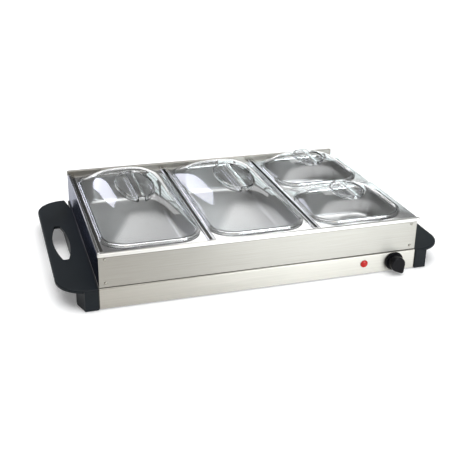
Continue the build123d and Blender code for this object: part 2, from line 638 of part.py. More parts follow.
def end_panel(rail_top, rail_left, rail_right):
    """The front panel: foot flange, web, rolled rail and the ledge that carries the pans."""
    rail_out, rail_in = -PANEL_Y - RAIL_PROUD, -PANEL_Y - RAIL_PROUD + RAIL_WIDTH
    rail = block(rail_left, rail_right, rail_out, rail_in, RAIL_UNDER, rail_top)
    rail = fillet(rail.edges().filter_by(Axis.X).group_by(Axis.Z)[-1], RAIL_ROUND)
    rail = fillet(rail.edges().filter_by(Axis.Z), RAIL_END_ROUND)
    channel = block(-PANEL_X + 1, PANEL_X - 1, -PANEL_Y + SHEET, rail_in - SHEET,
                    RAIL_UNDER, rail_top - SHEET)
    panel = rail - channel
    panel -= block(rail_left, rail_right, -PANEL_Y + SHEET, rail_in + 1, RAIL_UNDER - 1, LEDGE_TOP - SHEET)
    panel += block(-PANEL_X, PANEL_X, -PANEL_Y, -PANEL_Y + SHEET, PLATE_TOP, RAIL_UNDER + SHEET)
    panel += block(-PANEL_X + HEM_WIDTH, PANEL_X - HEM_WIDTH, rail_in - SHEET, rail_in + END_LEDGE,
                   LEDGE_TOP - SHEET, LEDGE_TOP)
    panel += block(-PANEL_X, PANEL_X, -PANEL_Y, -PANEL_Y + FOOT_FLANGE, PLATE_TOP, PLATE_TOP + SHEET)
    bend = panel.edges().filter_by(Axis.X).group_by(Axis.Z)[0].sort_by(Axis.Y)[0]
    panel = fillet(bend, FOOT_BEND)
    for x in (-PANEL_X + RIVET_INSET, PANEL_X - RIVET_INSET):
        for z in RIVET_HEIGHTS:
            panel -= along_y(x, -PANEL_Y - 2, -PANEL_Y + 3, z, RIVET_SHANK + FIT)
    return panel


SIDE_END = PANEL_Y - SHEET
TAB_LENGTH = 18.0
LEDGE_INNER_Y = PANEL_Y + RAIL_PROUD - RAIL_WIDTH - END_LEDGE


def side_panel(hemmed):
    """The right panel, with a folded tab at each end that is riveted behind the end panels.

    A hemmed panel ends in a raised roll beside the pans; a plain one lies flat under their flanges.
    """
    web_in = PANEL_X - SHEET
    ledge_end = PANEL_X - HEM_WIDTH + SHEET if hemmed else PANEL_X
    rail_in = PANEL_Y + RAIL_PROUD - RAIL_WIDTH
    panel = block(web_in, PANEL_X, -SIDE_END, SIDE_END, PLATE_TOP + SHEET, LEDGE_TOP - SHEET)
    if hemmed:
        hem_in = PANEL_X - HEM_WIDTH
        hem = block(hem_in, PANEL_X, -rail_in + 1, rail_in - 1, LEDGE_TOP - SHEET, HEM_TOP)
        hem = fillet(hem.edges().filter_by(Axis.Y).group_by(Axis.Z)[-1], HEM_ROUND)
        hem = fillet(hem.edges().filter_by(Axis.Z), HEM_END_ROUND)
        panel += hem - block(hem_in + SHEET, web_in, -rail_in + 3, rail_in - 3,
                             LEDGE_TOP - 2, HEM_TOP - SHEET)
    ledge_y = LEDGE_INNER_Y - 0.2
    panel += block(PANEL_X - HEM_WIDTH - SIDE_LEDGE, ledge_end, -ledge_y, ledge_y,
                   LEDGE_TOP - SHEET, LEDGE_TOP)
    flange_y = PANEL_Y - FOOT_FLANGE - 0.2
    panel += block(PANEL_X - FOOT_FLANGE, PANEL_X, -flange_y, flange_y, PLATE_TOP, PLATE_TOP + SHEET)
    panel -= block(web_in - 1, PANEL_X + 1, flange_y, PANEL_Y, 0, PLATE_TOP + SHEET + 0.1)
    panel -= block(web_in - 1, PANEL_X + 1, -PANEL_Y, -flange_y, 0, PLATE_TOP + SHEET + 0.1)
    tab = block(PANEL_X - TAB_LENGTH, PANEL_X, -SIDE_END, -SIDE_END + SHEET, PLATE_TOP + 3, LEDGE_TOP - 2.5)
    for z in RIVET_HEIGHTS:
        tab -= along_y(PANEL_X - RIVET_INSET, -PANEL_Y - 2, -PANEL_Y + 3, z, RIVET_SHANK + FIT)
    for folded in pair(tab, Plane.XZ):
        panel += folded
    return panel


RIVET_SHANK = 1.5
RIVET_HEAD = 2.4
RIVET_DOME, RIVET_ROUND = 1.1, 0.9


def frame_rivets():
    """Blind rivets with a low dome outside and a rolled tail inside."""
    rivets = []
    for x in (-PANEL_X + RIVET_INSET, PANEL_X - RIVET_INSET):
        for z in RIVET_HEIGHTS:
            dome = along_y(x, -PANEL_Y - RIVET_DOME, -PANEL_Y, z, RIVET_HEAD)
            dome = fillet(dome.edges().group_by(Axis.Y)[0], RIVET_ROUND)
            inside = -PANEL_Y + 2 * SHEET
            shank = along_y(x, -PANEL_Y, inside, z, RIVET_SHANK)
            tail = along_y(x, inside, inside + RIVET_DOME, z, RIVET_HEAD)
            rivets += pair(dome + shank + tail, Plane.XZ)
    return rivets


RIB_ROUND = 0.7
RIB_GAP = 3.2              # between the ribs' ends and the rails
STRIP_HALF, WEB_DEPTH = 9.0, 12.0


def divider():
    """The right divider: a channel open at the top, with a wing each side for the pan flanges."""
    floor = LEDGE_TOP - DIVIDER_DEPTH
    under_ledge = LEDGE_TOP - SHEET
    rib_end = PANEL_Y + RAIL_PROUD - RAIL_WIDTH - RIB_GAP
    wing_end = LEDGE_INNER_Y - 0.2
    ribs = block(-DIVIDER_HALF - SHEET, DIVIDER_HALF + SHEET, -rib_end, rib_end, LEDGE_TOP, RIB_TOP)
    ribs = fillet(ribs.edges().filter_by(Axis.Y).group_by(Axis.Z)[-1], RIB_ROUND)
    channel = block(-DIVIDER_HALF, DIVIDER_HALF, -SIDE_END, SIDE_END, floor, under_ledge)
    wings = block(-DIVIDER_WING, DIVIDER_WING, -wing_end, wing_end, under_ledge, LEDGE_TOP)
    inside = DIVIDER_HALF - SHEET
    shape = ribs + channel + wings
    shape -= block(-inside, inside, -SIDE_END - 1, SIDE_END + 1, floor + SHEET, RIB_TOP + 1)
    return Pos(DIVIDER_X, 0, 0) * shape


def cross_divider():
    """A strip with a stiffening web under the joint between the two half pans."""
    left, right = DIVIDER_X + DIVIDER_WING + 0.1, PANEL_X - HEM_WIDTH - SIDE_LEDGE - 0.1
    strip = block(left, right, -STRIP_HALF, STRIP_HALF, LEDGE_TOP - SHEET, LEDGE_TOP)
    web = block(DIVIDER_X + DIVIDER_HALF, PANEL_X - SHEET, -SHEET / 2, SHEET / 2,
                LEDGE_TOP - WEB_DEPTH, LEDGE_TOP - SHEET)
    return strip + web


# ---- pans ----
def ring(width, length, radius, thickness, z0, z1):
    """An upright wall round a rounded rectangle, measured outside."""
    outer = RectangleRounded(width, length, radius)
    inner = RectangleRounded(width - 2 * thickness, length - 2 * thickness, radius - thickness)
    return slab(outer - inner, z0, z1)


def pan(flange_length, opening_length, flange_right=FLANGE_WIDTH / 2):
    """A pressed pan: flat flange, raised bead, tapered walls and a rounded floor."""
    depth = PAN_DEPTH - SHEET
    mouth = RectangleRounded(OPENING_WIDTH + 2 * SHEET, opening_length + 2 * SHEET, OPENING_RADIUS + SHEET)
    tub = extrude(Pos(0, 0, LEDGE_TOP) * mouth, amount=-depth, taper=PAN_TAPER)
    tub = fillet(tub.faces().sort_by(Axis.Z)[0].edges(), FLOOR_RADIUS + SHEET)
    room = RectangleRounded(OPENING_WIDTH, opening_length, OPENING_RADIUS)
    food = extrude(Pos(0, 0, LEDGE_TOP) * room, amount=-(depth - SHEET), taper=PAN_TAPER)
    food = fillet(food.faces().sort_by(Axis.Z)[0].edges(), FLOOR_RADIUS)
    food += slab(room, LEDGE_TOP, BEAD_TOP + 1)

    flange_left = -FLANGE_WIDTH / 2
    flange_plan = RectangleRounded(flange_right - flange_left, flange_length, FLANGE_CORNER)
    flange = slab(Pos((flange_left + flange_right) / 2, 0) * flange_plan, LEDGE_TOP, FLANGE_TOP)
    bead_width = OPENING_WIDTH + 2 * BEAD_WIDTH
    bead_length = opening_length + 2 * BEAD_WIDTH
    bead_radius = OPENING_RADIUS + BEAD_WIDTH
    bead = ring(bead_width, bead_length, bead_radius, BEAD_WIDTH, LEDGE_TOP, BEAD_TOP)
    bead = fillet(bead.faces().sort_by(Axis.Z)[-1].edges(), BEAD_ROUND)
    groove = ring(bead_width - 2 * SHEET, bead_length - 2 * SHEET, bead_radius - SHEET,
                  BEAD_WIDTH - 2 * SHEET, LEDGE_TOP, BEAD_TOP - SHEET)
    return tub + (flange + bead - groove) - food


# ---- lids ----
LID_LIP = 4.0              # flat band round the crown
LID_ROUND = 1.0
GRIP_SINK = 6.0            # the grip's rim reaches down into the crown
CROWN_SPREAD = 1.04        # the crown's surface runs past the shell on every side
CROWN_STEPS = 24
CROWN_ACROSS, CROWN_ALONG = 2.8, 3.6    # how squarely the crown swells each way


def crown(width, length, base, rise, reach):
    """Everything under a pillow-shaped crown, down to its base."""
    rows = []
    steps = CROWN_STEPS
    for row in range(steps + 1):
        v = reach * (2 * row / steps - 1)
        line = []
        for column in range(steps + 1):
            u = reach * (2 * column / steps - 1)
            height = rise * (1 - abs(u) ** CROWN_ACROSS) * (1 - abs(v) ** CROWN_ALONG)
            line.append(Vector(u * width / 2, v * length / 2, base + height))
        rows.append(line)
    top = Face.make_surface_from_array_of_points(rows, tol=0.02, min_deg=3, max_deg=5)
    return Solid.extrude(top, (0, 0, -rise - PAN_DEPTH / 4))


def grip_plan(width, length, grow=0.0):
    """The two half-moon finger wells each side of the bar."""
    oval = Ellipse(width / 2 + grow, length / 2 + grow)
    return oval - Rectangle(2 * (BAR_HALF - grow), length + 20)


def lid(opening_length, top, grip_width, grip_length, well_depth):
    """A clear shell: skirt round the pan's bead, crown, and a bar between two finger wells."""
    rim_width = OPENING_WIDTH + 2 * (BEAD_WIDTH + LID_CLEARANCE + LID_WALL)
    rim_length = opening_length + 2 * (BEAD_WIDTH + LID_CLEARANCE + LID_WALL)
    rim_radius = OPENING_RADIUS + BEAD_WIDTH + LID_CLEARANCE + LID_WALL
    skirt_under = BEAD_TOP + LID_WALL - LID_SKIRT
    lip_top = BEAD_TOP + LID_WALL
    apex = top - GRIP_RISE
    rise = apex - lip_top
    dome_width, dome_length = rim_width - 2 * LID_LIP, rim_length - 2 * LID_LIP
    dome_radius = rim_radius - LID_LIP

    shell = slab(RectangleRounded(rim_width, rim_length, rim_radius), skirt_under, lip_top)
    shell = fillet(shell.faces().sort_by(Axis.Z)[-1].edges(), LID_ROUND)
    outside = slab(RectangleRounded(dome_width, dome_length, dome_radius), lip_top - 1, top)
    shell += outside & crown(dome_width, dome_length, lip_top, rise, CROWN_SPREAD)

    inner = 2 * LID_WALL
    well_floor = top - well_depth
    hollow = slab(RectangleRounded(dome_width - inner, dome_length - inner, dome_radius - LID_WALL),
                  skirt_under - 1, top)
    hollow &= crown(dome_width, dome_length, lip_top - LID_WALL, rise, CROWN_SPREAD)
    hollow += slab(RectangleRounded(rim_width - inner, rim_length - inner, rim_radius - LID_WALL),
                   skirt_under - 1, BEAD_TOP)
    rim = Ellipse(grip_width / 2 + GRIP_RIM, grip_length / 2 + GRIP_RIM)
    pocket_walls = slab(grip_plan(grip_width, grip_length, LID_WALL), well_floor - LID_WALL, top + 1)
    shell += slab(rim - Ellipse(grip_width / 2, grip_length / 2), top - GRIP_SINK, top)
    shell -= hollow - pocket_walls
    return shell - slab(grip_plan(grip_width, grip_length), well_floor, top + 1)


# ---- write every node ----
os.makedirs("parts", exist_ok=True)

right_cap = end_cap()
save("warming_plate", warming_plate())
save("bottom_cover", bottom_cover())
save("cover_posts", *cover_posts())
save("cover_screws", *cover_screws())
save("right_end_cap", right_cap)
save("left_end_cap", mirror(right_cap, about=Plane.YZ))
save("end_cap_screws", *end_cap_screws())
save("foot_pads", *foot_pads())
save("heating_element", heating_element())
save("element_clips", *element_clips())
save("heat_shield", heat_shield())
save("thermal_fuse", thermal_fuse())
save("fuse_clip", fuse_clip())
save("thermostat", thermostat())
save("thermostat_nut", thermostat_nut())
save("thermostat_shaft", thermostat_shaft())
save("knob_spring", knob_spring())
save("control_knob", control_knob())
save("lamp_lens", lamp_lens())
save("lamp_bulb", lamp_bulb())
save("lamp_retainer", lamp_retainer())
save("cord_gland", cord_gland())
save("terminal_block", terminal_block())
save("earth_screw", earth_screw())
save("wiring_harness", *wiring_harness())

right_divider = divider()
save("frame_front", end_panel(RAIL_TOP, -PANEL_X - 1, PANEL_X + RAIL_OVERHANG))
save("frame_back", mirror(end_panel(BACK_RAIL_TOP, -PANEL_X - 1, PANEL_X + 1), about=Plane.XZ))
save("frame_right", side_panel(hemmed=False))
save("frame_left", mirror(side_panel(hemmed=True), about=Plane.YZ))
save("frame_rivets", *frame_rivets())
save("right_divider", right_divider)
save("left_divider", mirror(right_divider, about=Plane.YZ))
save("cross_divider", cross_divider())

full_pan = pan(FLANGE_LENGTH, OPENING_LENGTH)
front_pan = pan(HALF_FLANGE_LENGTH, HALF_OPENING_LENGTH, FRONT_LAP)
back_pan = pan(HALF_FLANGE_LENGTH, HALF_OPENING_LENGTH, BACK_LAP)
full_lid = lid(OPENING_LENGTH, LID_TOP, *FULL_GRIP)
half_lid = lid(HALF_OPENING_LENGTH, HALF_LID_TOP, *HALF_GRIP)
left_x, middle_x, right_x = COLUMN_X
places = {"left": (left_x, 0, full_pan, full_lid),
          "middle": (middle_x, 0, full_pan, full_lid),
          "front": (right_x, -HALF_PAN_Y, front_pan, half_lid),
          "back": (right_x, HALF_PAN_Y, back_pan, half_lid)}
for place, (x, y, pan_shape, lid_shape) in places.items():
    save(f"{place}_pan", Pos(x, y, 0) * pan_shape)
    save(f"{place}_lid", Pos(x, y, 0) * lid_shape)
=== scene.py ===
import json
import math

import bmesh
import bpy
from mathutils import Matrix, Vector

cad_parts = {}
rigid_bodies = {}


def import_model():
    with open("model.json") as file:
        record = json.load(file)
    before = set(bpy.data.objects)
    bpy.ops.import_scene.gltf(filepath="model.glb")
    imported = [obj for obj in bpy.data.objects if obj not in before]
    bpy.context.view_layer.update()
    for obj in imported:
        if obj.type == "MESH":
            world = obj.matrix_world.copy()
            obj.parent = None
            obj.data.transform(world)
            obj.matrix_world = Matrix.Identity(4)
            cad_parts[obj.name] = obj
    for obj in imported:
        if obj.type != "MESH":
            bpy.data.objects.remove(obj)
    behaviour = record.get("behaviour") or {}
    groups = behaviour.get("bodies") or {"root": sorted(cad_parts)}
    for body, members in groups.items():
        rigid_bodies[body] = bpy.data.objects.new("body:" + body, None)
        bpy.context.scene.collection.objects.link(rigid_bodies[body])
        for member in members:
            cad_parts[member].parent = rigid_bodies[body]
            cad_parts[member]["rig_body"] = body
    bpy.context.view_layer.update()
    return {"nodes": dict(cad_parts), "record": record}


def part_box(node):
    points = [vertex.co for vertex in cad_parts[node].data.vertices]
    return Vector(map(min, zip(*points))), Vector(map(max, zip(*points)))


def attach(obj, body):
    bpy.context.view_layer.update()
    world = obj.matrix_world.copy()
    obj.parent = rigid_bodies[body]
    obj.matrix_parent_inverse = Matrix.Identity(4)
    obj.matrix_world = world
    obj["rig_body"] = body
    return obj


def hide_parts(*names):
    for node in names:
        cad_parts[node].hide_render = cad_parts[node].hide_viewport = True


# Electric buffet server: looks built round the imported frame.  Metres, +Z up, front at -Y.
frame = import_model()
NODES = frame["nodes"]
SLOTS = {part["node"]: part["material_slot"] for part in frame["record"]["subparts"]}
MM = 0.001


# ---- camera: in front, to the left of the middle and above ----
CAMERA_PLACE = Vector((-0.4232, -1.2968, 0.6421))
CAMERA_AZIMUTH = math.radians(-18.21)       # to the right of the front
CAMERA_ELEVATION = math.radians(21.98)
CAMERA_ROLL = math.radians(1.324)
CAMERA_LENS = 65.92
SENSOR_WIDTH = 36.0
CAMERA_SHIFT = (-0.0233, -0.0629)


def add_camera():
    """Looks back along the azimuth and down by the elevation, with a slight roll."""
    across, ahead = math.sin(-CAMERA_AZIMUTH), math.cos(CAMERA_AZIMUTH)
    level, fall = math.cos(CAMERA_ELEVATION), math.sin(CAMERA_ELEVATION)
    forward = Vector((across * level, ahead * level, -fall))
    right = Vector((ahead, -across, 0.0))
    up = right.cross(forward)
    tilt = Matrix.Rotation(-CAMERA_ROLL, 3, forward)
    right, up = tilt @ right, tilt @ up
    data = bpy.data.cameras.new("camera")
    data.lens = CAMERA_LENS
    data.sensor_width = SENSOR_WIDTH
    data.shift_x, data.shift_y = CAMERA_SHIFT
    camera = bpy.data.objects.new("camera", data)
    turn = Matrix((right, up, -forward)).transposed()
    camera.matrix_world = Matrix.Translation(CAMERA_PLACE) @ turn.to_4x4()
    bpy.context.scene.collection.objects.link(camera)
    bpy.context.scene.camera = camera


# ---- light and floor ----
def direction(azimuth, elevation):
    """A unit vector; azimuth in degrees to the right of +Y."""
    turn, rise = math.radians(azimuth), math.radians(elevation)
    return Vector((math.sin(turn) * math.cos(rise), math.cos(turn) * math.cos(rise), math.sin(rise)))


def softbox(name, azimuth, elevation, distance, size, radiance, colour, offset=(0, 0)):
    """A rectangular light that faces the server; the offset slides it within its own plane."""
    data = bpy.data.lights.new(name, "AREA")
    data.shape = "RECTANGLE"
    data.size, data.size_y = size
    data.energy = radiance * math.pi * size[0] * size[1]
    data.color = colour
    light = bpy.data.objects.new(name, data)
    facing = direction(azimuth, elevation)
    turn = facing.to_track_quat("Z", "Y")
    place = facing * distance + turn @ Vector((*offset, 0))
    light.matrix_world = Matrix.Translation(place) @ turn.to_matrix().to_4x4()
    bpy.context.scene.collection.objects.link(light)


# Azimuth and elevation in degrees, distance, size, radiance and colour of each box.
SOFTBOXES = {
    "key": (156.5, 13, 1.9, (0.74, 1.0), 9.0, (0.91, 0.965, 1.0)),
    "warm_fill": (-172, 8, 1.9, (0.6, 0.5), 0.7, (1.0, 0.66, 0.3)),
    "left_box": (-21, 20, 2.0, (0.34, 0.62), 3.0, (0.86, 0.87, 1.0)),
    "back_box": (25, 31, 2.2, (0.95, 0.42), 1.3, (1.0, 1.0, 1.0)),
}
WINDOW_PLACE = (27, 13, 2.2)        # azimuth, elevation and distance of its middle
WINDOW_PANES = (4, 3)               # columns and rows
WINDOW_PANE = (0.2, 0.2)
WINDOW_BAR = 0.045
WINDOW_LIGHT = 1.5
WINDOW_TINT = (0.88, 0.99, 1.0)


def add_lights():
    """The softboxes, and a window of panes with dark bars between them."""
    for name, settings in SOFTBOXES.items():
        softbox(name, *settings)
    columns, rows = WINDOW_PANES
    for column in range(columns):
        for row in range(rows):
            slide = ((column - (columns - 1) / 2) * (WINDOW_PANE[0] + WINDOW_BAR),
                     (row - (rows - 1) / 2) * (WINDOW_PANE[1] + WINDOW_BAR))
            softbox(f"window_{column}_{row}", *WINDOW_PLACE, WINDOW_PANE, WINDOW_LIGHT, WINDOW_TINT, slide)


TOP_LIGHT = 3.5
DIM_LIGHT = 0.16
CEILING = (0.74, 0.95)      # sines of the elevations between which the room brightens
FLOOR_SIZE = 30


def add_world():
    """A dim room under a bright, soft ceiling."""
    world = bpy.data.worlds.new("studio")
    world.use_nodes = True
    tree = world.node_tree
    place = tree.nodes.new("ShaderNodeTexCoord")
    split = tree.nodes.new("ShaderNodeSeparateXYZ")
    tree.links.new(place.outputs["Generated"], split.inputs["Vector"])
    spread = tree.nodes.new("ShaderNodeMapRange")
    spread.interpolation_type = "SMOOTHSTEP"
    spread.inputs["From Min"].default_value = CEILING[0]
    spread.inputs["From Max"].default_value = CEILING[1]
    spread.inputs["To Min"].default_value = DIM_LIGHT
    spread.inputs["To Max"].default_value = TOP_LIGHT
    tree.links.new(split.outputs["Z"], spread.inputs["Value"])
    background = tree.nodes["Background"]
    background.inputs["Color"].default_value = (1.0, 1.0, 1.0, 1.0)
    tree.links.new(spread.outputs["Result"], background.inputs["Strength"])
    bpy.context.scene.world = world
    bpy.context.scene.view_settings.view_transform = "Standard"


def add_floor():
    bpy.ops.mesh.primitive_plane_add(size=FLOOR_SIZE)
    floor = bpy.context.object
    floor.name = "floor"
    floor.data.materials.append(FINISH["floor"])


# ---- material building blocks ----
MIX_ONE, MIX_TWO, MIX_RESULT = 6, 7, 2      # the colour sockets of a Mix node


class Shader:
    """A principled material with a few shorthand nodes."""

    def __init__(self, name):
        self.material = bpy.data.materials.new(name)
        self.material.use_nodes = True
        self.tree = self.material.node_tree
        self.principled = self.tree.nodes["Principled BSDF"]
        self.place = self.node("ShaderNodeTexCoord").outputs["Object"]

    def node(self, kind, **settings):
        node = self.tree.nodes.new(kind)
        for key, value in settings.items():
            setattr(node, key, value)
        return node

    def link(self, output, target):
        self.tree.links.new(output, target)

    def set(self, **values):
        """Sets inputs of the principled shader, with _ for each space in their names."""
        for key, value in values.items():
            self.principled.inputs[key.replace("_", " ")].default_value = value
        return self

    def noise(self, scale, detail=3.0, roughness=0.55, stretch=(1, 1, 1)):
        """Noise in object space, stretched along an axis by a small factor on it."""
        mapping = self.node("ShaderNodeMapping")
        mapping.inputs["Scale"].default_value = stretch
        self.link(self.place, mapping.inputs["Vector"])
        noise = self.node("ShaderNodeTexNoise")
        noise.inputs["Scale"].default_value = scale
        noise.inputs["Detail"].default_value = detail
        noise.inputs["Roughness"].default_value = roughness
        self.link(mapping.outputs["Vector"], noise.inputs["Vector"])
        return noise.outputs["Fac"]

    def ramp(self, factor, low, high, start=0.3, end=0.7):
        """Two colours or greys blended by a factor between start and end."""
        ramp = self.node("ShaderNodeValToRGB")
        for element, place, tone in zip(ramp.color_ramp.elements, (start, end), (low, high)):
            element.position = place
            element.color = (*tone, 1.0) if isinstance(tone, tuple) else (tone, tone, tone, 1.0)
        self.link(factor, ramp.inputs["Fac"])
        return ramp.outputs["Color"]

    def along(self, axis, start, end, middle=0.0):
        """Goes from 0 to 1 as the distance from the middle, along an axis, goes from start to end."""
        split = self.node("ShaderNodeSeparateXYZ")
        self.link(self.place, split.inputs["Vector"])
        apart = self.node("ShaderNodeMath", operation="SUBTRACT")
        self.link(split.outputs[axis], apart.inputs[0])
        apart.inputs[1].default_value = middle
        distance = self.node("ShaderNodeMath", operation="ABSOLUTE")
        self.link(apart.outputs["Value"], distance.inputs[0])
        spread = self.node("ShaderNodeMapRange")
        spread.inputs["From Min"].default_value = start
        spread.inputs["From Max"].default_value = end
        self.link(distance.outputs["Value"], spread.inputs["Value"])
        return spread.outputs["Result"]

    def within(self, spans):
        """1 where every span is 1, each span as the method along takes it."""
        factor = self.along(*spans[0])
        for span in spans[1:]:
            both = self.node("ShaderNodeMath", operation="MULTIPLY")
            self.link(factor, both.inputs[0])
            self.link(self.along(*span), both.inputs[1])
            factor = both.outputs["Value"]
        return factor

    def blend(self, factor, one, two):
        """A mix that goes from one grey or colour to the other as the factor goes from 0 to 1."""
        mix = self.node("ShaderNodeMix", data_type="RGBA")
        self.link(factor, mix.inputs["Factor"])
        self.link(one, mix.inputs[MIX_ONE])
        self.link(two, mix.inputs[MIX_TWO])
        return mix.outputs[MIX_RESULT]

    def colour(self, output):
        self.link(output, self.principled.inputs["Base Color"])
        return self

    def roughness(self, output):
        self.link(output, self.principled.inputs["Roughness"])
        return self

    def bump(self, height, depth):
        """Relief that follows a height, with a depth in metres."""
        bump = self.node("ShaderNodeBump")
        bump.inputs["Distance"].default_value = depth
        self.link(height, bump.inputs["Height"])
        self.link(bump.outputs["Normal"], self.principled.inputs["Normal"])
        return self


# ---- finishes ----
# Noises as scale, detail and roughness; depths of relief in metres.
BRUSH_NOISE, BRUSH_STRETCH, BRUSH_DEPTH = (900, 2.0, 0.7), 0.012, 1.0e-5
BRUSH_SHADE = 0.86              # the tone of the brush lines against the sheet
BRUSH_SPREAD = (0.25, 0.75)
SHEET_SMUDGE, PRESS_SMUDGE = (9, 4.0, 0.6), (14, 4.0, 0.6)
POLISH_MARKS, DRAW_MARKS = (260, 3.0, 0.6), (420, 3.0, 0.6)
MARK_DEPTH = 8e-6
PLAIN_TINT = (1.0, 1.0, 1.0)
SATIN_END = (88.0 * MM, 90.5 * MM)      # heights between which the pans' satin turns to polish


def scaled(tone, factor):
    return tuple(factor * channel for channel in tone)


def brushed_steel(name, tone, grain, rough=(0.4, 0.5), streak=0.8, bands=(), glancing=PLAIN_TINT):
    """Stainless sheet with brush lines along X or Y and faint smudges.

    Bands have tones of their own, painted shadows, shade, highlights and reflections; glancing is the tint
    of reflections at a grazing angle.
    """
    stretch = [1.0, 1.0, 1.0]
    stretch["XYZ".index(grain)] = BRUSH_STRETCH
    shader = Shader(name).set(Metallic=1.0, Anisotropic=streak, Anisotropic_Rotation=0.25,
                              Specular_Tint=(*glancing, 1.0))
    tangent = shader.node("ShaderNodeTangent", direction_type="RADIAL", axis="Z")
    shader.link(tangent.outputs["Tangent"], shader.principled.inputs["Tangent"])
    lines = shader.noise(*BRUSH_NOISE, tuple(stretch))
    smudge = shader.noise(*SHEET_SMUDGE)
    colour = shader.ramp(lines, scaled(tone, BRUSH_SHADE), tone, *BRUSH_SPREAD)
    for spans, painted_band_tone in bands:
        band = shader.ramp(lines, scaled(painted_band_tone, BRUSH_SHADE), painted_band_tone, *BRUSH_SPREAD)
        colour = shader.blend(shader.within(spans), colour, band)
    shader.colour(colour)
    shader.roughness(shader.ramp(smudge, *rough))
    return shader.bump(lines, BRUSH_DEPTH).material


def bright_steel(name, tone):
    """Polished or plated metal: faint smudges and shallow marks."""
    shader = Shader(name).set(Metallic=1.0)
    smudge = shader.noise(*PRESS_SMUDGE)
    marks = shader.noise(*POLISH_MARKS)
    shader.colour(shader.ramp(smudge, scaled(tone, 0.93), tone))
    shader.roughness(shader.ramp(smudge, 0.14, 0.24))
    return shader.bump(marks, MARK_DEPTH).material


def pressed_steel():
    """A deep-drawn pan: satin inside, polished on the flange and the bead."""
    shader = Shader("bright_stainless").set(Metallic=1.0)
    smudge = shader.noise(*PRESS_SMUDGE)
    marks = shader.noise(*DRAW_MARKS)
    above = shader.along("Z", *SATIN_END)
    satin = shader.ramp(smudge, (0.55, 0.55, 0.545), (0.63, 0.63, 0.625))
    polished = shader.ramp(smudge, (0.86, 0.86, 0.855), (0.93, 0.93, 0.925))
    shader.colour(shader.blend(above, satin, polished))
    shader.roughness(shader.blend(above, shader.ramp(smudge, 0.30, 0.40), shader.ramp(smudge, 0.12, 0.2)))
    return shader.bump(marks, MARK_DEPTH).material


def moulding(name, tone, rough, grain=2600, depth=1.2e-5, gloss=0.5):
    """Moulded plastic: spark-eroded grain, with a slight drift in tone and gloss."""
    shader = Shader(name).set(Specular_IOR_Level=gloss)
    drift = shader.noise(18, 3.0)
    pores = shader.noise(grain, 2.0, 0.6)
    shader.colour(shader.ramp(drift, scaled(tone, 0.85), scaled(tone, 1.15)))
    shader.roughness(shader.ramp(drift, rough - 0.05, rough + 0.05))
    return shader.bump(pores, depth).material


def clear_moulding():
    """Water-clear lid plastic with faint haze."""
    shader = Shader("clear_plastic").set(Transmission_Weight=1.0, IOR=1.12)
    shader.set(Coat_Weight=1.0, Coat_IOR=1.5, Coat_Roughness=0.015)
    haze = shader.noise(30, 4.0)
    shader.colour(shader.ramp(haze, (0.96, 0.975, 0.98), (0.99, 0.995, 1.0)))
    shader.roughness(shader.ramp(haze, 0.0, 0.035, 0.45, 0.8))
    return shader.bump(shader.noise(60, 2.0), 6e-6).material


def lamp_plastic():
    """A red jewel, mottled within, with a trace of glow."""
    shader = Shader("lamp_red").set(Transmission_Weight=0.15, Specular_IOR_Level=0.25)
    depth = shader.noise(500, 2.0)
    shader.colour(shader.ramp(depth, (0.36, 0.006, 0.005), (0.56, 0.016, 0.012)))
    shader.roughness(shader.ramp(depth, 0.12, 0.25))
    shader.set(Emission_Color=(1.0, 0.05, 0.03, 1.0), Emission_Strength=0.02)
    return shader.bump(shader.noise(900, 1.0), 2e-5).material


def plain_floor():
    """A pale, even floor with a little light of its own."""
    shader = Shader("floor").set(Roughness=0.7, Emission_Color=(1.0, 1.0, 1.0, 1.0), Emission_Strength=0.2)
    shader.colour(shader.ramp(shader.noise(3, 2.0), (0.86, 0.86, 0.86), (0.88, 0.88, 0.88)))
    return shader.material


STEEL = (0.40, 0.386, 0.352)
# Painted highlight: the rails' hems are the panels' own steel, painted much lighter for the light their
# tops catch.
RAIL_HIGHLIGHT_STEEL = (0.82, 0.81, 0.78)
# Painted light: the warming plate is the frame's steel made lighter, to offset the shade its skirt gets
# near the floor.
PLATE_LIT_STEEL = (0.485, 0.467, 0.424)
# Painted reflection: the side panels' outer faces get a dark bluish tone that stands for the dark
# surroundings they reflect.
SIDE_REFLECTION_STEEL = (0.21, 0.228, 0.31)
# Dark tones painted in as shade: the seam's painted shadow, the painted shadow under the front rail's fold,
# and the plate ends' painted shade.
SEAM_SHADOW_TONE, FOLD_SHADOW_TONE, PLATE_END_SHADE_TONE = scaled(STEEL, 0.2), scaled(STEEL, 0.55), scaled(PLATE_LIT_STEEL, 0.1)

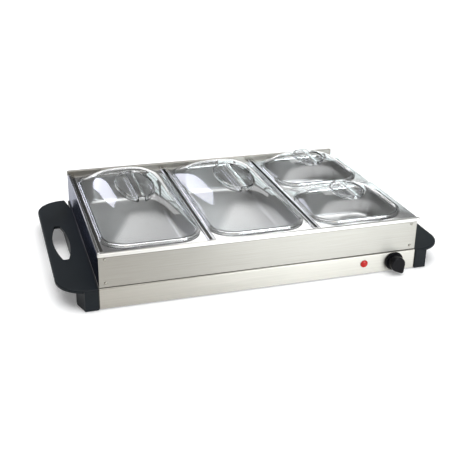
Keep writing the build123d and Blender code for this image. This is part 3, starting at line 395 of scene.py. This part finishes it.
# Where each band lies: an axis, the distances at which the band is 0 and 1, and where they are taken from.
MIDDLE_Y = 7.25 * MM        # the tray frame's middle; the knob in front moves the object's own
OUTER_FACE = ("Y", 183.4 * MM, 183.6 * MM, MIDDLE_Y)
# Painted shadow: a dark line along the seam where the panels meet the warming plate's skirt, on the panels'
# outer faces.
SEAM_SHADOW_BAND = (("Z", 1.7 * MM, 1.3 * MM, 36.3 * MM), OUTER_FACE)
# Painted shadow: a dark line just under the front rail's folded hem, on the panel's outer face.
FOLD_SHADOW_BAND = (("Z", 0.9 * MM, 0.4 * MM, 88.3 * MM), OUTER_FACE)
# Painted highlight: the front rail's hem, above its fold.
FRONT_RAIL_HIGHLIGHT = (("Z", 88.8 * MM, 89.1 * MM),)
# Painted reflection: the side panels' outer faces.
SIDE_REFLECTION_FACE = (("X", 269.4 * MM, 269.6 * MM),)
# Painted highlight: the side panels' rails along their tops.
SIDE_RAIL_HIGHLIGHT = (("Z", 90.4 * MM, 91.2 * MM),)
# Painted shade: the warming plate's ends, under the end caps' lips, darkened to a tenth of its tone.
PLATE_END_SHADE = (("X", 270.2 * MM, 270.4 * MM),)
FINISH = {
    "floor": plain_floor(),
    "stainless": brushed_steel("stainless", STEEL, "X", bands=((SEAM_SHADOW_BAND, SEAM_SHADOW_TONE),)),
    "stainless_front": brushed_steel("stainless_front", STEEL, "X", bands=(
        (FRONT_RAIL_HIGHLIGHT, RAIL_HIGHLIGHT_STEEL), (FOLD_SHADOW_BAND, FOLD_SHADOW_TONE), (SEAM_SHADOW_BAND, SEAM_SHADOW_TONE))),
    "stainless_plate": brushed_steel("stainless_plate", PLATE_LIT_STEEL, "X", bands=((PLATE_END_SHADE, PLATE_END_SHADE_TONE),)),
    # The side panels' bluish glancing tint is painted reflection too.
    "stainless_side": brushed_steel("stainless_side", STEEL, "Y", (0.12, 0.2), 0.3, bands=(
        (SIDE_REFLECTION_FACE, SIDE_REFLECTION_STEEL), (SIDE_RAIL_HIGHLIGHT, RAIL_HIGHLIGHT_STEEL)), glancing=(0.3, 0.32, 0.4)),
    "rivet": bright_steel("rivet", (0.34, 0.33, 0.29)),
    "bright_stainless": pressed_steel(),
    "handle_plastic": moulding("handle_plastic", (0.0085, 0.0115, 0.0140), 0.45, gloss=0.14),
    "knob_plastic": moulding("knob_plastic", (0.006, 0.006, 0.007), 0.14, grain=400, depth=2e-6, gloss=0.1),
    "clear_plastic": clear_moulding(),
    "lamp_red": lamp_plastic(),
    "bulb_glass": moulding("bulb_glass", (0.8, 0.45, 0.3), 0.1, grain=300, depth=2e-6),
    "pad_rubber": moulding("pad_rubber", (0.02, 0.02, 0.02), 0.8, grain=1500, depth=4e-5),
    "galvanised": bright_steel("galvanised", (0.55, 0.57, 0.59)),
    "shield": bright_steel("shield", (0.88, 0.88, 0.89)),
    "sheath": brushed_steel("sheath", (0.2, 0.19, 0.18), "X", (0.4, 0.55)),
    "fastener": bright_steel("fastener", (0.72, 0.72, 0.73)),
    "brass": bright_steel("brass", (0.8, 0.6, 0.3)),
    "ceramic": moulding("ceramic", (0.82, 0.79, 0.72), 0.25, grain=900, depth=1e-5),
    "wire": moulding("wire", (0.72, 0.7, 0.64), 0.75, grain=3000, depth=8e-5),
    "gland_plastic": moulding("gland_plastic", (0.012, 0.012, 0.013), 0.45, gloss=0.3),
}
# Nodes whose finish differs from their slot's.
SHEETS = {"frame_left": "stainless_side", "frame_right": "stainless_side", "frame_front": "stainless_front",
          "warming_plate": "stainless_plate", "frame_rivets": "rivet"}


def dress(piece, node):
    """Gives a piece the finish of a CAD node's slot."""
    slot = SLOTS[node]
    piece.data.materials.clear()
    piece.data.materials.append(FINISH[SHEETS.get(node, slot)])


# ---- mesh building blocks ----
SMOOTH_ANGLE = math.radians(35)
HARD_ANGLE = math.radians(40)       # edges at least this sharp are broken
FLAT_ANGLE = math.radians(0.3)      # faces that turn less than this are joined
MERGE_GAP = 1e-6
SHEET_BEVEL, MOULDING_BEVEL = 0.25 * MM, 0.5 * MM


def new_piece(name, bm, node):
    """Turns a bmesh into a piece that stands for a CAD node."""
    bmesh.ops.recalc_face_normals(bm, faces=bm.faces)
    mesh = bpy.data.meshes.new(name)
    bm.to_mesh(mesh)
    bm.free()
    piece = bpy.data.objects.new(name, mesh)
    bpy.context.scene.collection.objects.link(piece)
    smooth(mesh)
    dress(piece, node)
    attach(piece, NODES[node]["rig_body"])
    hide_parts(node)
    return piece


def smooth(mesh):
    mesh.shade_smooth()
    mesh.set_sharp_from_angle(angle=SMOOTH_ANGLE)


def refined(node, bevel):
    """A CAD sheet or moulding with its hard edges broken by a small radius."""
    bm = bmesh.new()
    bm.from_mesh(NODES[node].data)
    bm.transform(NODES[node].matrix_world)
    bmesh.ops.remove_doubles(bm, verts=bm.verts, dist=MERGE_GAP)
    bmesh.ops.dissolve_limit(bm, angle_limit=FLAT_ANGLE, verts=bm.verts, edges=bm.edges)
    piece = new_piece(node + "_finished", bm, node)
    modifier = piece.modifiers.new("edges", "BEVEL")
    modifier.width = bevel
    modifier.segments = 2
    modifier.limit_method = "ANGLE"
    modifier.angle_limit = HARD_ANGLE
    modifier.harden_normals = True


def rounded_outline(half_x, half_y, radius, arc=14, along_x=10, along_y=24):
    """Points round a rounded rectangle, anticlockwise from the foot of its back right corner's arc."""
    points = []
    corners = ((1, 1, 0), (-1, 1, 90), (-1, -1, 180), (1, -1, 270))
    for index, (sx, sy, start) in enumerate(corners):
        centre_x, centre_y = sx * (half_x - radius), sy * (half_y - radius)
        for step in range(arc + 1):
            turn = math.radians(start + 90 * step / arc)
            points.append((centre_x + radius * math.cos(turn), centre_y + radius * math.sin(turn)))
        next_sx, next_sy, _ = corners[(index + 1) % 4]
        goal = (next_sx * (half_x - radius) + radius * math.cos(math.radians(start + 90)),
                next_sy * (half_y - radius) + radius * math.sin(math.radians(start + 90)))
        count = along_x if index % 2 == 0 else along_y
        last = points[-1]
        for step in range(1, count):
            part = step / count
            points.append((last[0] + part * (goal[0] - last[0]), last[1] + part * (goal[1] - last[1])))
    return points


def add_loop(bm, points):
    return [bm.verts.new(point) for point in points]


def level_loop(bm, outline, z):
    """A loop of vertices along an outline, all at one height."""
    return add_loop(bm, [(x, y, z) for x, y in outline])


def rounded_loop(bm, half, radius, grow, z):
    """A level loop round a rounded rectangle that has grown on every side."""
    return level_loop(bm, rounded_outline(half[0] + grow, half[1] + grow, radius + grow), z)


def bridge(bm, one, two):
    """Quads between two closed loops of equal length."""
    for index in range(len(one)):
        after = (index + 1) % len(one)
        bm.faces.new((one[index], one[after], two[after], two[index]))


def bridge_all(bm, loops):
    for one, two in zip(loops, loops[1:]):
        bridge(bm, one, two)


def fill_between(bm, *loops):
    """A flat face with holes, cut into triangles."""
    edges = []
    for loop in loops:
        for index, vertex in enumerate(loop):
            edges.append(bm.edges.get((vertex, loop[(index + 1) % len(loop)])) or
                         bm.edges.new((vertex, loop[(index + 1) % len(loop)])))
    bmesh.ops.triangle_fill(bm, edges=edges, use_beauty=True)


# ---- lids ----
LID_WALL = 1.6 * MM
LID_SKIRT = 4.1 * MM
LIP, LIP_EDGE = 4.0 * MM, 0.8 * MM
RIM_RADIUS = 41.0 * MM
EDGE, INNER_EDGE = 0.9 * MM, 0.35 * MM
EDGE_MIDDLE = 0.3                         # how far in a rounded edge passes its corner, in radii
CROWN_RINGS = 26
CROWN_ACROSS, CROWN_ALONG = 2.8, 3.6      # how squarely the crown swells each way
CROWN_UNDER = 0.8 * MM                    # the grip's rim stands this far above the crown
GRIP_RIM = 2.4 * MM
RIM_FOOT = 1.2 * MM
BAR_HALF = 6.5 * MM
WELL_ROUND, WELL_STEPS = 5.0 * MM, 6
WELL_DRAFT = 0.3 * MM
FULL_GRIP, FULL_WELL = (30.0 * MM, 62.0 * MM), 11.0 * MM
HALF_GRIP, HALF_WELL = (25.5 * MM, 37.5 * MM), 8.0 * MM


def ellipse_point(oval, point):
    """Where the direction of a point from the middle meets an ellipse."""
    x, y = point
    reach = 1 / math.hypot(x / oval[0], y / oval[1])
    return (x * reach, y * reach)


def half_moon(side, oval, bar, straight=24, arc=56):
    """The outline of one finger well: the oval's arc, and a straight side by the bar."""
    half_x, half_y = oval
    start = math.acos(bar / half_x)
    points = []
    for step in range(arc):
        turn = -start + 2 * start * step / arc
        points.append((side * half_x * math.cos(turn), half_y * math.sin(turn)))
    end = half_y * math.sin(start)
    for step in range(straight):
        points.append((side * bar, end * (1 - 2 * step / straight)))
    return points


def lip_loops(bm, size, base, lip_top, wall):
    """Up the skirt, over its rounded edge and in along the lip."""
    edge = max(EDGE - wall, INNER_EDGE)
    profile = [(wall, base), (wall, lip_top - edge),
               (wall + EDGE_MIDDLE * edge, lip_top - EDGE_MIDDLE * edge),
               (wall + edge, lip_top), (wall + LIP - LIP_EDGE, lip_top), (wall + LIP, lip_top)]
    return [rounded_loop(bm, size, RIM_RADIUS, -inset, z) for inset, z in profile]


def crown_loops(bm, size, start, foot, lip_top, rise):
    """The swelling crown, from the lip in to the foot of the grip's rim."""
    def swell(x, y):
        across, length = abs(x / (size[0] - LIP)), abs(y / (size[1] - LIP))
        return (1 - across ** CROWN_ACROSS) * (1 - length ** CROWN_ALONG)

    loops = []
    for ring in range(1, CROWN_RINGS + 1):
        part = ring / CROWN_RINGS
        points = []
        for x, y in start:
            end_x, end_y = ellipse_point(foot, (x, y))
            now_x, now_y = x + part * (end_x - x), y + part * (end_y - y)
            height = swell(now_x, now_y) - swell(x, y) * (1 - part) ** 2
            points.append((now_x, now_y, lip_top + (rise - CROWN_UNDER) * height))
        loops.append(add_loop(bm, points))
    return loops


def rim_loops(bm, start, rim, land):
    """The rounded outer edge of the grip's rim, up to its flat land."""
    loops = []
    for inset, drop in ((0.0, 1.0), (EDGE_MIDDLE, EDGE_MIDDLE), (1.0, 0.0)):
        oval = (rim[0] - inset * EDGE, rim[1] - inset * EDGE)
        loops.append(add_loop(bm, [(*ellipse_point(oval, point), land - drop * EDGE) for point in start]))
    return loops


def finger_well(bm, side, oval, land, floor, wall):
    """One finger well, from its rounded edge in the land to its floor; gives its top loop."""
    sections = []
    for inset, drop in ((-1.0, 0.0), (-EDGE_MIDDLE, EDGE_MIDDLE), (0.0, 1.0)):
        sections.append((EDGE * inset, land - EDGE * drop))
    for step in range(WELL_STEPS + 1):
        turn = math.radians(90 * step / WELL_STEPS)
        sections.append((WELL_DRAFT + WELL_ROUND * (1 - math.cos(turn)),
                         floor + WELL_ROUND * (1 - math.sin(turn))))
    loops = []
    for inset, z in sections:
        grown = inset - wall
        outline = half_moon(side, (oval[0] - grown, oval[1] - grown), BAR_HALF + grown)
        loops.append(level_loop(bm, outline, z))
    bridge_all(bm, loops)
    bm.faces.new(loops[-1])
    return loops[0]


def lid_face(bm, size, base, top, oval, well, wall):
    """One face of a lid's shell: the outer one with wall 0, the inner one with the wall's thickness."""
    lip_top, land = base + LID_SKIRT - wall, top - wall
    start = rounded_outline(size[0] - wall - LIP, size[1] - wall - LIP, RIM_RADIUS - wall - LIP)
    rim = (oval[0] + GRIP_RIM - wall, oval[1] + GRIP_RIM - wall)
    foot = (rim[0] + RIM_FOOT, rim[1] + RIM_FOOT)
    loops = lip_loops(bm, size, base, lip_top, wall)
    loops += crown_loops(bm, size, start, foot, lip_top, top - (base + LID_SKIRT))
    loops += rim_loops(bm, start, rim, land)
    bridge_all(bm, loops)
    wells = [finger_well(bm, side, oval, land, top - well - wall, wall) for side in (-1, 1)]
    fill_between(bm, loops[-1], *wells)
    return loops[0]


def lid(place, oval, well):
    low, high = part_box(f"{place}_lid")
    centre = (low + high) / 2
    size = ((high.x - low.x) / 2, (high.y - low.y) / 2)
    bm = bmesh.new()
    outer = lid_face(bm, size, low.z, high.z, oval, well, 0.0)
    inner = lid_face(bm, size, low.z, high.z, oval, well, LID_WALL)
    bridge(bm, outer, inner)
    bmesh.ops.translate(bm, verts=bm.verts, vec=(centre.x, centre.y, 0))
    new_piece(f"{place}_lid_shell", bm, f"{place}_lid")


# ---- pans ----
OPENING_HALF_X = 75.0 * MM
FULL_OPENING, HALF_OPENING = 156.0 * MM, 67.0 * MM      # half lengths along Y
OPENING_RADIUS = 34.0 * MM
SHEET = 0.8 * MM
BEAD, BEAD_HEIGHT = 4.6 * MM, 2.5 * MM
FLANGE_RADIUS = 3.0 * MM
PAN_DEPTH, PAN_FILLET = 50.4 * MM, 8.0 * MM
TAPER_ANGLE = 4.0
TAPER = math.tan(math.radians(TAPER_ANGLE))
WALL_STEPS, FILLET_STEPS = 6, 6


def bead_loops(bm, opening, top, under):
    """The bead round the opening, from its foot on the flange, over its crown, to the pan's wall."""
    out, rise = BEAD - under, BEAD_HEIGHT - under
    outer_side = [(out + 1.6 * MM, 0.0), (out + 0.35 * MM, 0.12 * MM), (out, 0.6 * MM), (out, 0.5 * rise),
                  (out - 0.25 * MM, rise - 0.45 * MM), (out - 0.9 * MM, rise)]
    inner_side = [(under + 1.2 * MM, rise), (under + 0.45 * MM, rise - 0.3 * MM), (under, rise - 1.0 * MM),
                  (under, 0.0)]
    return [rounded_loop(bm, opening, OPENING_RADIUS, grow, top + z) for grow, z in outer_side + inner_side]


def bowl_loops(bm, opening, ledge, under):
    """Down the tapered wall and round the fillet to the pan's floor."""
    fillet = PAN_FILLET + under
    wall_end = PAN_DEPTH + under - fillet
    profile = []
    for step in range(1, WALL_STEPS + 1):
        z = wall_end * step / WALL_STEPS
        profile.append((z * TAPER - under, z))
    last_turn = 90 - TAPER_ANGLE
    for step in range(1, FILLET_STEPS + 1):
        turn = math.radians(last_turn * step / FILLET_STEPS)
        profile.append((wall_end * TAPER - under + fillet * (1 - math.cos(turn)),
                        wall_end + fillet * math.sin(turn) * (1 / math.sin(math.radians(last_turn)))))
    return [rounded_loop(bm, opening, OPENING_RADIUS, -inset, ledge + SHEET - z) for inset, z in profile]


def pan_face(bm, centre, opening, flange, ledge, sheet):
    """One face of a pressed pan, from the flange's edge to the floor.

    The upper face has the sheet's thickness, and the face under it has 0.
    """
    low, high = flange
    top, under = ledge + sheet, SHEET - sheet
    edge = rounded_outline((high.x - low.x) / 2, (high.y - low.y) / 2, FLANGE_RADIUS)
    shift = ((low.x + high.x) / 2 - centre.x, (low.y + high.y) / 2 - centre.y)
    loops = [add_loop(bm, [(x + shift[0], y + shift[1], top) for x, y in edge])]
    loops += bead_loops(bm, opening, top, under)
    loops += bowl_loops(bm, opening, ledge, under)
    bridge_all(bm, loops)
    bm.faces.new(loops[-1])
    return loops[0]


def pan(place, opening_half_y):
    low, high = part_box(f"{place}_pan")
    lid_low, lid_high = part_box(f"{place}_lid")
    centre = (lid_low + lid_high) / 2
    ledge = high.z - BEAD_HEIGHT - SHEET
    opening = (OPENING_HALF_X, opening_half_y)
    bm = bmesh.new()
    upper = pan_face(bm, centre, opening, (low, high), ledge, SHEET)
    lower = pan_face(bm, centre, opening, (low, high), ledge, 0.0)
    bridge(bm, upper, lower)
    bmesh.ops.translate(bm, verts=bm.verts, vec=(centre.x, centre.y, 0))
    new_piece(f"{place}_pan_pressed", bm, f"{place}_pan")


# ---- build ----
for node, piece in NODES.items():
    smooth(piece.data)
    dress(piece, node)
for place in ("left", "middle"):
    lid(place, FULL_GRIP, FULL_WELL)
    pan(place, FULL_OPENING)
for place in ("front", "back"):
    lid(place, HALF_GRIP, HALF_WELL)
    pan(place, HALF_OPENING)
for node in ("frame_front", "frame_back", "frame_left", "frame_right", "warming_plate",
             "left_divider", "right_divider", "cross_divider"):
    refined(node, SHEET_BEVEL)
for node in ("left_end_cap", "right_end_cap"):
    refined(node, MOULDING_BEVEL)

add_camera()
add_lights()
add_world()
add_floor()
